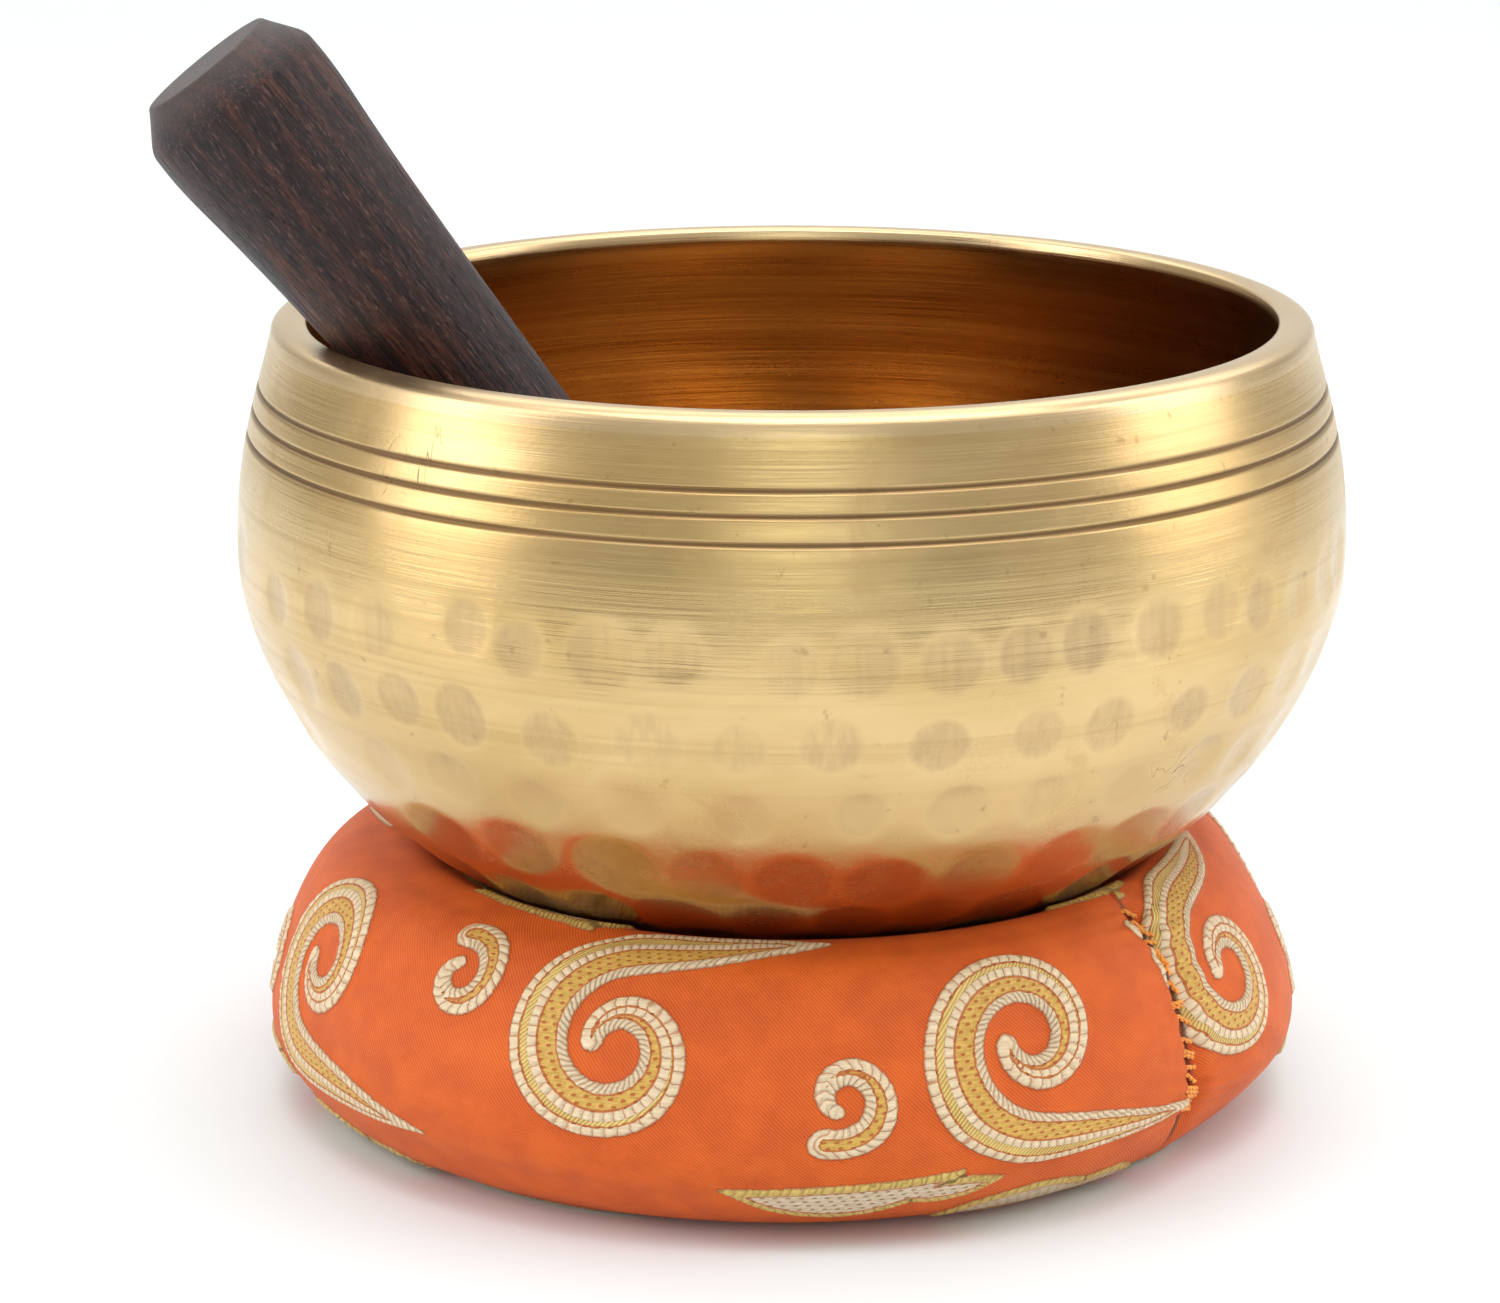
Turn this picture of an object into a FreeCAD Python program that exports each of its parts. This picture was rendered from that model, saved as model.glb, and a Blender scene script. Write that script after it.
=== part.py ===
"""Singing bowl set: a hand-hammered brass bowl standing on a stuffed brocade ring cushion,
with a turned hardwood striker leaning inside it.

Frame: +Z up, origin on the bowl's axis in the plane of the cushion's flat underside.
Every length is in millimetres. One STEP per sub-part is written to parts/.
"""
import FreeCAD, Part
import math
import os

V = FreeCAD.Vector
os.makedirs("parts", exist_ok=True)

# ------------------------------------------------------------------ driving dimensions
BOWL_MAX_R = 63.5          # widest radius of the bowl, 127 mm (5 in) across
RIM_Z = 91.4               # crown of the bowl's rim above the table
RIM_OUT_R = 59.1           # outer edge of the rim
RIM_IN_R = 55.1            # inner edge of the rim
BASE_Z = 23.2              # flat foot of the bowl above the table
BASE_R = 23.5              # radius of the flat foot
FLOOR_Z = 26.6             # inside bottom of the bowl
GROOVE_Z = (83.9, 81.35, 78.5)   # three turned lines under the rim
GROOVE_W = 0.75
GROOVE_D = 0.42

CUSHION_OUT_R = 60.6
CUSHION_HOLE_R = 21.6
COVER_T = 0.8              # brocade with its backing
THREAD_D = 0.55

STRIKER_L = 116.8
STRIKER_HEAD_R = 10.75
STRIKER_TAIL_R = 6.6
STRIKER_RIM_X = -39.9      # where the striker's axis crosses the rim plane
STRIKER_RIM_Y = -18.6
STRIKER_DIR = (-0.6074, -0.0670, 0.7915)   # along the axis, towards the head
STRIKER_ABOVE = 38.9       # length of axis above the rim plane

JOINT_AZ = -38.0           # azimuth of the hand-sewn joint of the ring, degrees from +X

# ------------------------------------------------------------------ helpers


def spline(points):
    c = Part.BSplineCurve()
    c.interpolate([V(r, 0, z) for r, z in points])
    return c.toShape()


def seg(a, b):
    return Part.LineSegment(V(a[0], 0, a[1]), V(b[0], 0, b[1])).toShape()


def arc(a, m, b):
    return Part.Arc(V(a[0], 0, a[1]), V(m[0], 0, m[1]), V(b[0], 0, b[1])).toShape()


def revolve(edges):
    wire = Part.Wire(Part.__sortEdges__(edges))
    face = Part.Face(wire)
    s = face.revolve(V(0, 0, 0), V(0, 0, 1), 360)
    s = Part.Solid(s.Shells[0]) if s.ShapeType != "Solid" else s
    if s.Volume < 0:
        s.reverse()
    return s


def write(shape, name):
    print("%-18s valid %s solids %d volume %.1f mm3" % (name, shape.isValid(), len(shape.Solids), shape.Volume))
    shape.exportStep("parts/%s.step" % name)


# ------------------------------------------------------------------ bowl
# Outer profile from the foot up to the rim, then the inner profile back down.
OUTER = [
    (BASE_R, BASE_Z), (31.6, 24.75), (37.9, 27.75), (43.9, 31.6), (49.4, 36.1), (54.3, 41.7),
    (58.7, 48.6), (61.75, 55.6), (63.3, 62.0), (BOWL_MAX_R, 65.3), (63.35, 69.4), (62.75, 75.1),
    (61.8, 79.8), (60.75, 83.9), (59.75, 87.4), (RIM_OUT_R, 90.1),
]
INNER = [
    (RIM_IN_R, 90.9), (55.45, 88.4), (56.9, 83.2), (58.6, 77.0), (59.75, 70.0), (59.9, 65.0),
    (59.2, 59.6), (57.0, 52.6), (53.4, 46.0), (48.6, 40.1), (42.6, 35.0), (35.6, 30.9),
    (28.0, 28.2), (20.0, FLOOR_Z),
]
edges = [
    seg((0, BASE_Z), (BASE_R, BASE_Z)),
    spline(OUTER),
    arc(OUTER[-1], (58.2, 91.05), (57.2, RIM_Z)),
    arc((57.2, RIM_Z), (56.1, 91.35), INNER[0]),
    spline(INNER),
    seg(INNER[-1], (0, FLOOR_Z)),
    seg((0, FLOOR_Z), (0, BASE_Z)),
]
bowl = revolve(edges)


def outer_r(z):
    """Outer radius of the bowl at a height, between the profile's points."""
    for (r0, z0), (r1, z1) in zip(OUTER, OUTER[1:]):
        if z0 <= z <= z1:
            return r0 + (r1 - r0) * (z - z0) / (z1 - z0)
    raise ValueError(z)


for z in GROOVE_Z:
    r = outer_r(z)
    tri = [V(r - GROOVE_D, 0, z), V(r + 1.0, 0, z + GROOVE_W * 1.35), V(r + 1.0, 0, z - GROOVE_W * 1.65)]
    face = Part.Face(Part.makePolygon(tri + [tri[0]]))
    bowl = bowl.cut(face.revolve(V(0, 0, 0), V(0, 0, 1), 360))
bowl = bowl.Solids[0]
write(bowl, "bowl")

# ------------------------------------------------------------------ ring cushion
# Section of the stuffed ring: flat where it lies on the table, sagging outwards,
# and pressed hollow where the bowl sits in it, a hair clear of the bowl.
SECTION = [
    (36.0, 0.0),                                   # inner end of the flat
    (30.2, 0.9), (25.2, 3.9), (22.4, 8.6), (CUSHION_HOLE_R, 13.4), (22.2, 18.0),
    (24.6, 21.4), (28.6, 23.2), (33.5, 24.85), (38.2, 27.25), (42.3, 29.75), (45.6, 30.9),
    (49.2, 30.7), (52.2, 28.9), (54.6, 25.9), (56.9, 21.6), (59.0, 16.6),
    (60.3, 11.6), (CUSHION_OUT_R, 8.3), (59.9, 4.9), (57.2, 2.0), (52.8, 0.45),
    (48.0, 0.0),                                   # outer end of the flat
]


def inset(points, t):
    """The closed section moved inwards by t, along the normals of its polyline."""
    n = len(points)
    out = []
    for i, (r, z) in enumerate(points):
        a, b = points[i - 1], points[(i + 1) % n]
        dx, dz = b[0] - a[0], b[1] - a[1]
        l = math.hypot(dx, dz)
        out.append((r + dz / l * t, z - dx / l * t))
    return out


def ring(points):
    return revolve([spline(points), seg(points[-1], points[0])])


core_points = inset(SECTION, COVER_T)
core_points[0] = (SECTION[0][0], COVER_T)
core_points[-1] = (SECTION[-1][0], COVER_T)
filling = ring(core_points)
outer_ring = ring(SECTION)
cover = outer_ring.cut(filling)
cover = cover.Solids[0]
write(filling, "cushion_filling")
write(cover, "cushion_cover")

# ------------------------------------------------------------------ hand-sewn joint
# Whip stitches that close the ring, one after another round the section, each a
# short length of thread lying across the joint.
az = math.radians(JOINT_AZ)
out_dir = V(math.cos(az), math.sin(az), 0)
tan_dir = V(-math.sin(az), math.cos(az), 0)


def at(r, z, side=0.0):
    return out_dir * r + V(0, 0, z) + tan_dir * side


stitches = []
dense = []
curve = Part.BSplineCurve()
curve.interpolate([V(r, 0, z) for r, z in SECTION])
N = 17
first, last = 11, 21                       # from the crest, over the outside, to the flat
u0 = curve.parameter(V(SECTION[first][0], 0, SECTION[first][1]))
u1 = curve.parameter(V(SECTION[last][0], 0, SECTION[last][1]))
for i in range(N):
    u = u0 + (u1 - u0) * i / (N - 1)
    p = curve.value(u)
    t = curve.tangent(u)[0]
    nrm = (-t.z, t.x)                       # outward normal of the section
    slant = 0.55 if i % 2 else 0.25
    lift = 0.12
    a = at(p.x + nrm[0] * lift - t.x * slant, p.z + nrm[1] * lift - t.z * slant, -1.25)
    b = at(p.x + nrm[0] * lift + t.x * slant, p.z + nrm[1] * lift + t.z * slant, 1.25)
    d = b - a
    stitches.append(Part.makeCylinder(THREAD_D / 2, d.Length, a, d))
write(Part.makeCompound(stitches), "joint_stitches")

# The brocade is cut as a strip and sewn along its length into a tube. That seam
# runs round the hole of the ring, low on its inner side.
SEAM_R, SEAM_Z = 22.4, 8.6
seam = Part.makeTorus(SEAM_R + 0.1, THREAD_D / 2, V(0, 0, SEAM_Z), V(0, 0, 1))
write(seam, "tube_seam_thread")

# ------------------------------------------------------------------ striker
# Turned from one piece of dark hardwood: a straight head with a chamfered end,
# then a long taper to the tail.
L = STRIKER_L
profile = [
    (0.0, 0.0), (4.6, 0.0), (STRIKER_TAIL_R - 0.35, 1.4), (STRIKER_TAIL_R, 3.2),
]
body = [(STRIKER_TAIL_R, 3.2), (6.75, L - 94.0), (7.25, L - 71.0), (8.15, L - 48.0), (9.25, L - 28.0),
        (10.25, L - 14.5), (STRIKER_HEAD_R, L - 7.5), (10.7, L - 4.8)]
stick_edges = [
    seg(profile[0], profile[1]), seg(profile[1], profile[2]), seg(profile[2], profile[3]),
    spline(body),
    arc(body[-1], (9.9, L - 2.3), (7.6, L)),
    seg((7.6, L), (0, L)),
    seg((0, L), (0, 0)),
]
striker = revolve(stick_edges)
d = V(*STRIKER_DIR)
d.normalize()
head = V(STRIKER_RIM_X, STRIKER_RIM_Y, 91.46) + d * STRIKER_ABOVE
foot = head - d * L
striker.Placement = FreeCAD.Placement(foot, FreeCAD.Rotation(V(0, 0, 1), d))
write(striker, "striker")

# ------------------------------------------------------------------ clearances
print("tail to floor %.3f mm" % striker.distToShape(Part.makePlane(60, 60, V(-30, -30, FLOOR_Z)))[0])
print("foot centre", foot, "head centre", head)
print("striker to bowl %.3f mm" % striker.distToShape(bowl)[0], "at", striker.distToShape(bowl)[1][0])
print("bowl to cushion %.3f mm" % bowl.distToShape(cover)[0], "at", bowl.distToShape(cover)[1][0])
print("overlap striker/bowl %.4f" % striker.common(bowl).Volume, "bowl/cover %.4f" % bowl.common(cover).Volume)
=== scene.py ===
import math
import bpy
import numpy as np
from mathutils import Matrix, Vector


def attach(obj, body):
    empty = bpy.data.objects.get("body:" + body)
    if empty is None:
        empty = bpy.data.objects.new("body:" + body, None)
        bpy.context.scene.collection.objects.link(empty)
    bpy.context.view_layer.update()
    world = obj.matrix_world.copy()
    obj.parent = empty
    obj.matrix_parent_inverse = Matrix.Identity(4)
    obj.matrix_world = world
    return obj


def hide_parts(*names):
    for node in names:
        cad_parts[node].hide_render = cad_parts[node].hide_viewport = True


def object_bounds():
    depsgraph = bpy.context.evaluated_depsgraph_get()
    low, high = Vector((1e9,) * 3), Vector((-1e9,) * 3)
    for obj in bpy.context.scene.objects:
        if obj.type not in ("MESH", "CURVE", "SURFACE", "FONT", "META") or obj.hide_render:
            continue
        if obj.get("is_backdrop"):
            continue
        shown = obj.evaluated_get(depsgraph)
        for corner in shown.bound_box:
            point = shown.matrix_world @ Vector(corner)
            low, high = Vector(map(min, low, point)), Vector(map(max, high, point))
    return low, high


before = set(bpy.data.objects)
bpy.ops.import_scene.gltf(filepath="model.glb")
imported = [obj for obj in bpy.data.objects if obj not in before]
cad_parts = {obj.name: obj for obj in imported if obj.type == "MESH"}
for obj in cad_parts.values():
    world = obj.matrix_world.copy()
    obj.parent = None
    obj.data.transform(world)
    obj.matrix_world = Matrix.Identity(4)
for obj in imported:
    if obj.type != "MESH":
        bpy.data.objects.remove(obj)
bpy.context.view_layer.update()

MM = 0.001
PI2 = 2.0 * math.pi


# ============================================================ curve and grid helpers
def spline(pts, n, closed=False):
    """Natural cubic spline through points, resampled at n equal arc lengths."""
    p = np.asarray(pts, float)
    if closed:
        p = np.vstack([p[-3:], p, p[:4]])
    t = np.r_[0.0, np.cumsum(np.linalg.norm(np.diff(p, axis=0), axis=1))]
    m = len(t)
    h = np.diff(t)
    A = np.eye(m)
    rhs = np.zeros((m, p.shape[1]))
    for i in range(1, m - 1):
        A[i, i - 1], A[i, i], A[i, i + 1] = h[i - 1], 2 * (h[i - 1] + h[i]), h[i]
        rhs[i] = 6 * ((p[i + 1] - p[i]) / h[i] - (p[i] - p[i - 1]) / h[i - 1])
    M = np.linalg.solve(A, rhs)
    lo, hi = (t[3], t[-4]) if closed else (t[0], t[-1])

    def at(x):
        k = np.clip(np.searchsorted(t, x, side="right") - 1, 0, m - 2)
        hk = h[k][:, None]
        a = (t[k + 1] - x)[:, None]
        b = (x - t[k])[:, None]
        return (M[k] * a ** 3 + M[k + 1] * b ** 3) / (6 * hk) + \
            (p[k] / hk - M[k] * hk / 6) * a + (p[k + 1] / hk - M[k + 1] * hk / 6) * b

    x = np.linspace(lo, hi, max(4 * n, 400))
    q = at(x)
    L = np.r_[0.0, np.cumsum(np.linalg.norm(np.diff(q, axis=0), axis=1))]
    xs = np.interp(np.linspace(0, L[-1], n, endpoint=not closed), L, x)
    return at(xs)


def smooth01(x, a, b):
    t = np.clip((x - a) / (b - a), 0.0, 1.0)
    return t * t * (3 - 2 * t)


def noise_rows(rng, nu, nv, ku, kv, seam=None):
    """Smooth periodic random field on an nu x nv grid with ku x kv waves."""
    f = np.zeros((nu, nv))
    U = np.arange(nu)[:, None] / nu * PI2
    W = np.arange(nv)[None, :] / nv * PI2
    for _ in range(10):
        a, b = rng.integers(-ku, ku + 1), rng.integers(-kv, kv + 1)
        f += rng.normal() * np.cos(a * U + b * W + rng.uniform(0, PI2))
    return f / 3.2


def bicubic(C, uu, vv):
    """C[nu, nv, k] periodic both ways, sampled at fractional index grids uu (n), vv (m)."""
    def weights(x):
        i = np.floor(x).astype(int)
        f = x - i
        w = np.stack([-0.5 * f ** 3 + f ** 2 - 0.5 * f, 1.5 * f ** 3 - 2.5 * f ** 2 + 1,
                      -1.5 * f ** 3 + 2 * f ** 2 + 0.5 * f, 0.5 * f ** 3 - 0.5 * f ** 2], 1)
        return i, w
    iu, wu = weights(uu)
    iv, wv = weights(vv)
    nu, nv = C.shape[:2]
    T = sum(C[(iu + d - 1) % nu] * wu[:, d][:, None, None] for d in range(4))
    return sum(T[:, (iv + d - 1) % nv] * wv[:, d][None, :, None] for d in range(4))


def grid_normals(P, wrap_v=True):
    du = np.roll(P, -1, 0) - np.roll(P, 1, 0)
    if wrap_v:
        dv = np.roll(P, -1, 1) - np.roll(P, 1, 1)
    else:
        dv = np.gradient(P, axis=1)
    n = np.cross(du, dv)
    return n / np.maximum(np.linalg.norm(n, axis=2, keepdims=True), 1e-9)


def quads(nu, nv, wrap_v):
    i = np.arange(nu)[:, None]
    j = np.arange(nv if wrap_v else nv - 1)[None, :]
    i2, j2 = (i + 1) % nu, (j + 1) % nv
    f = np.stack([i * nv + j, i2 * nv + j, i2 * nv + j2, i * nv + j2], -1)
    return f.reshape(-1, 4)


def mesh_object(name, verts, faces):
    me = bpy.data.meshes.new(name)
    me.from_pydata(verts.tolist(), [], faces)
    me.polygons.foreach_set("use_smooth", np.ones(len(me.polygons), bool))
    me.update()
    ob = bpy.data.objects.new(name, me)
    bpy.context.scene.collection.objects.link(ob)
    return ob


def signed_volume(v, f):
    f = np.asarray([x[:3] for x in f])
    return np.einsum("ij,ij->", v[f[:, 0]], np.cross(v[f[:, 1]], v[f[:, 2]]))


def lathe_object(name, prof, nu, disp=None, values=None):
    """Surface of revolution of prof (r, z) from one pole to the other, in mm, with rows
    displaced by disp[nu, nrows] along the profile's normal (positive is outwards)."""
    prof = np.asarray(prof, float)
    t = np.gradient(prof, axis=0)
    t /= np.maximum(np.linalg.norm(t, axis=1, keepdims=True), 1e-9)
    nr, nz = t[:, 1], -t[:, 0]
    ang = np.arange(nu) / nu * PI2
    r, z = prof[:, 0][None, :], prof[:, 1][None, :]
    d = np.zeros((nu, len(prof))) if disp is None else disp
    R, Z = r + nr[None, :] * d, z + nz[None, :] * d
    P = np.stack([R * np.cos(ang)[:, None], R * np.sin(ang)[:, None], Z + 0 * R], -1)
    return P


def add_value(ob, name, arr, domain="POINT", kind="FLOAT"):
    a = ob.data.attributes.new(name, kind, domain)
    a.data.foreach_set("vector" if kind == "FLOAT_VECTOR" else "value",
                       np.ascontiguousarray(arr, np.float32).ravel())


# ============================================================ node helpers
class Shade:
    """Small helper that builds a procedural Principled material."""

    def __init__(self, name):
        self.mat = bpy.data.materials.new(name)
        self.mat.use_nodes = True
        self.nt = self.mat.node_tree
        self.n, self.l = self.nt.nodes, self.nt.links
        self.n.clear()
        self.out = self.n.new("ShaderNodeOutputMaterial")
        self.p = self.n.new("ShaderNodeBsdfPrincipled")
        self.l.new(self.p.outputs[0], self.out.inputs[0])

    def put(self, sock, v):
        if isinstance(v, bpy.types.NodeSocket):
            self.l.new(v, sock)
        elif isinstance(v, (tuple, list)):
            sock.default_value = (*v, 1.0) if len(v) == 3 and sock.type == "RGBA" else v
        else:
            sock.default_value = v

    def m(self, op, a, b=0.0, c=0.0, clamp=False):
        x = self.n.new("ShaderNodeMath")
        x.operation, x.use_clamp = op, clamp
        self.put(x.inputs[0], a)
        self.put(x.inputs[1], b)
        self.put(x.inputs[2], c)
        return x.outputs[0]

    def add(self, a, b): return self.m("ADD", a, b)
    def sub(self, a, b): return self.m("SUBTRACT", a, b)
    def mul(self, a, b): return self.m("MULTIPLY", a, b)
    def mad(self, a, b, c): return self.m("MULTIPLY_ADD", a, b, c)

    def step(self, x, a, b):
        """0 below a, 1 above b, smooth between (a > b falls instead)."""
        r = self.n.new("ShaderNodeMapRange")
        r.interpolation_type = "SMOOTHSTEP"
        r.clamp = True
        self.put(r.inputs[0], x)
        lo, hi, v0, v1 = (a, b, 0.0, 1.0) if a < b else (b, a, 1.0, 0.0)
        for i, v in zip((1, 2, 3, 4), (lo, hi, v0, v1)):
            r.inputs[i].default_value = v
        return r.outputs[0]

    def attr(self, name, vec=False):
        a = self.n.new("ShaderNodeAttribute")
        a.attribute_name = name
        return a.outputs["Vector" if vec else "Fac"]

    def obj(self):
        return self.n.new("ShaderNodeTexCoord").outputs["Object"]

    def xyz(self, v):
        s = self.n.new("ShaderNodeSeparateXYZ")
        self.l.new(v, s.inputs[0])
        return s.outputs

    def vec(self, x, y, z):
        s = self.n.new("ShaderNodeCombineXYZ")
        for i, v in enumerate((x, y, z)):
            self.put(s.inputs[i], v)
        return s.outputs[0]

    def scale(self, v, s):
        x = self.n.new("ShaderNodeMapping")
        self.l.new(v, x.inputs[0])
        x.inputs["Scale"].default_value = s
        return x.outputs[0]

    def noise(self, v, scale, detail=3.0, rough=0.55, dist=0.0):
        x = self.n.new("ShaderNodeTexNoise")
        self.l.new(v, x.inputs["Vector"])
        x.inputs["Scale"].default_value = scale
        x.inputs["Detail"].default_value = detail
        x.inputs["Roughness"].default_value = rough
        x.inputs["Distortion"].default_value = dist
        return x.outputs[0]

    def voronoi(self, v, scale, rand=1.0, feature="F1"):
        x = self.n.new("ShaderNodeTexVoronoi")
        x.feature = feature
        self.l.new(v, x.inputs["Vector"])
        x.inputs["Scale"].default_value = scale
        x.inputs["Randomness"].default_value = rand
        return x.outputs[0]

    def mix(self, f, a, b, mode="MIX"):
        x = self.n.new("ShaderNodeMix")
        x.data_type, x.blend_type = "RGBA", mode
        self.put(x.inputs[0], f)
        self.put(x.inputs[6], a)
        self.put(x.inputs[7], b)
        return x.outputs[2]

    def ramp(self, f, stops):
        x = self.n.new("ShaderNodeValToRGB")
        self.l.new(f, x.inputs[0])
        e = x.color_ramp.elements
        while len(e) < len(stops):
            e.new(0.5)
        for i, (pos, col) in enumerate(stops):
            e[i].position = pos
            e[i].color = (*col, 1.0)
        return x.outputs[0]

    def bump(self, h, dist, strength=1.0, prev=None):
        x = self.n.new("ShaderNodeBump")
        self.l.new(h, x.inputs["Height"])
        x.inputs["Distance"].default_value = dist
        x.inputs["Strength"].default_value = strength
        if prev is not None:
            self.l.new(prev, x.inputs["Normal"])
        return x.outputs[0]


# ============================================================ camera
cam_data = bpy.data.cameras.new("camera")
cam = bpy.data.objects.new("camera", cam_data)
bpy.context.scene.collection.objects.link(cam)
cam.location = (-0.00478, -0.52719, 0.18999)
cam.rotation_euler = (math.radians(90.0 - 14.76), 0.0, 0.0)
cam_data.sensor_fit = "HORIZONTAL"
cam_data.sensor_width = 36.0
cam_data.lens = 112.8
cam_data.clip_start = 0.02
cam_data.clip_end = 30.0
bpy.context.scene.camera = cam

# ============================================================ bowl
OUTER = [(23.5, 23.2), (31.6, 24.75), (37.9, 27.75), (43.9, 31.6), (49.4, 36.1), (54.3, 41.7),
         (58.7, 48.6), (61.75, 55.6), (63.3, 62.0), (63.5, 65.3), (63.35, 69.4), (62.75, 75.1),
         (61.8, 79.8), (60.75, 83.9), (59.75, 87.4), (59.1, 90.1)]
INNER = [(55.1, 90.9), (55.45, 88.4), (56.9, 83.2), (58.6, 77.0), (59.75, 70.0), (59.9, 65.0),
         (59.2, 59.6), (57.0, 52.6), (53.4, 46.0), (48.6, 40.1), (42.6, 35.0), (35.6, 30.9),
         (28.0, 28.2), (20.0, 26.6)]
GROOVES = (83.9, 81.35, 78.5)
OUT_CURVE = spline(OUTER, 3000)
OUT_LEN = np.r_[0.0, np.cumsum(np.linalg.norm(np.diff(OUT_CURVE, axis=0), axis=1))]


def bowl_under(r):
    """Height of the bowl's outside at radius r, on its lower half."""
    k = int(np.argmax(OUT_CURVE[:, 0]))
    return np.where(r < 23.5, 23.2, np.interp(r, OUT_CURVE[:k, 0], OUT_CURVE[:k, 1], right=99.0))


# rows up the outside, finer across each turned line
s_of_z = lambda z: float(np.interp(z, OUT_CURVE[:, 1], OUT_LEN))
rows = list(np.arange(0.0, OUT_LEN[-1], 0.74))
for gz in GROOVES:
    gs = s_of_z(gz)
    rows = [s for s in rows if abs(s - gs) > 0.95]
    rows += [gs + d for d in (-0.95, -0.62, -0.42, -0.3, -0.12, 0.12, 0.3, 0.42, 0.62, 0.95)]
rows = np.array(sorted(rows))
outside = np.stack([np.interp(rows, OUT_LEN, OUT_CURVE[:, 0]), np.interp(rows, OUT_LEN, OUT_CURVE[:, 1])], 1)
foot = [(r, 23.2) for r in (0.25, 1.5, 4, 8, 12, 15.5, 18.5, 21, 22.6)]
rim = [(59.08, 90.25), (58.95, 90.55), (58.72, 90.82), (58.38, 91.04), (57.95, 91.21), (57.45, 91.33),
       (56.9, 91.39), (56.35, 91.38), (55.9, 91.33), (55.52, 91.24), (55.25, 91.1), (55.12, 90.95)]
inside = spline(INNER, 49)[1:]
floor_in = [(r, 26.6) for r in (17.5, 15, 12, 9, 6, 3, 1.2, 0.25)]
prof = np.array(foot + outside.tolist() + rim + inside.tolist() + floor_in)
n_foot, n_out, n_rim, n_in = len(foot), len(outside), len(rim), len(inside)
NU_B = 452
ang = np.arange(NU_B) / NU_B * PI2
disp = np.zeros((NU_B, len(prof)))
groove_v = np.zeros((NU_B, len(prof)))
dimple_v = np.zeros((NU_B, len(prof)))
zone_v = np.zeros((NU_B, len(prof)))
o0, o1 = n_foot, n_foot + n_out

# turned lines, a little uneven in depth
for k, gz in enumerate(GROOVES):
    d = np.abs(rows - s_of_z(gz))
    v = np.clip(1 - d / 0.40, 0, 1)
    wob = 1 + 0.12 * np.cos(3 * ang + k) + 0.08 * np.cos(11 * ang + 2.3 * k)
    disp[:, o0:o1] -= 0.40 * v[None, :] * wob[:, None]
    lip = 0.03 * np.exp(-((d - 0.62) / 0.16) ** 2)
    disp[:, o0:o1] -= -0.0 * lip[None, :]
    groove_v[:, o0:o1] = np.maximum(groove_v[:, o0:o1], np.clip(1 - d / 0.46, 0, 1)[None, :])

# hammer marks: (azimuth in degrees, height, radius in mm)
rng = np.random.default_rng(11)
FRONT = [(-153.5, 64.5), (-144, 65.5), (-135, 65.6), (-123, 67.6), (-117, 66.2), (-108.6, 66.4),
         (-101.5, 66.8), (-90.6, 65.8), (-83.6, 66.2), (-75.4, 65.8), (-68, 66.2), (-61.6, 66.8),
         (-53, 66.9), (-44.5, 67.2), (-38, 66.6),
         (-151, 56.2), (-141.5, 56.9), (-132.5, 58), (-124.5, 57.6), (-114.5, 56.4), (-104.3, 57.1),
         (-95.5, 56.8), (-86.6, 57.3), (-76.2, 56.8), (-66, 57.1), (-58, 57), (-47.5, 56.7),
         (-139, 48.6), (-128.5, 49.4), (-118, 48.2), (-107, 48.9), (-95.4, 48.3), (-83.4, 48.8),
         (-73, 48.6), (-63.5, 48.9), (-53, 48.5),
         (-136, 40.2), (-123.5, 40.9), (-111, 40.3), (-100.4, 39.7), (-90.2, 39.4), (-79.6, 38.9),
         (-67.8, 39.0), (-56.5, 39.8), (-46, 40.3)]
marks = [(a, z, rng.uniform(3.5, 4.3) if z > 45 else rng.uniform(4.9, 5.5)) for a, z in FRONT]
for z0, step, lo, hi in ((66.2, 8.4, -31, 199), (56.9, 8.9, -38, 202), (48.6, 9.9, -43, 214), (40.0, 11.0, -35, 214)):
    a = lo
    while a < hi - step * 0.6:
        marks.append((a + rng.uniform(-1.4, 1.4), z0 + rng.uniform(-0.9, 0.9), rng.uniform(3.5, 4.4) if z0 > 45 else rng.uniform(4.9, 5.5)))
        a += step * rng.uniform(0.88, 1.14)
for z0, step in ((33.4, 11.6), (28.4, 14.0), (25.4, 17.0)):
    a = rng.uniform(0, 9)
    while a < 356:
        marks.append((a + rng.uniform(-1.5, 1.5), z0 + rng.uniform(-0.6, 0.6), rng.uniform(4.4, 5.2)))
        a += step * rng.uniform(0.9, 1.1)
depth = np.zeros((NU_B, n_out))
for a, z, R in marks:
    s0 = s_of_z(z)
    r0 = float(np.interp(s0, OUT_LEN, OUT_CURVE[:, 0]))
    da = np.abs((ang - math.radians(a) + math.pi) % PI2 - math.pi) * r0
    i = np.where(da < R * 1.25)[0]
    j = np.where(np.abs(rows - s0) < R * 1.25)[0]
    if not len(i) or not len(j):
        continue
    ex = rng.uniform(0.92, 1.08)
    rho = np.hypot(da[i][:, None] / ex, (rows[j] - s0)[None, :] * ex) / R
    dd = 0.30 * rng.uniform(0.8, 1.15) * (R / 4.2) * np.clip(1 - rho ** 2, 0, 1)
    sub = depth[np.ix_(i, j)]
    depth[np.ix_(i, j)] = np.maximum(sub, dd)
fade = smooth01(outside[:, 1], 23.4, 24.6)
disp[:, o0:o1] -= depth * fade[None, :]
dimple_v[:, o0:o1] = depth / 0.29
# beaten surface between the marks, and a slight hand-made wander of the wall
U = ang[:, None]
low = (noise_rows(rng, NU_B, len(prof), 9, 3) * 0.05)
zz = prof[:, 1][None, :]
handmade = smooth01(zz, 24.5, 30) * (1 - smooth01(zz, 70, 76))
disp[:, o0:o1] -= (np.abs(low) * handmade)[:, o0:o1]
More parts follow.
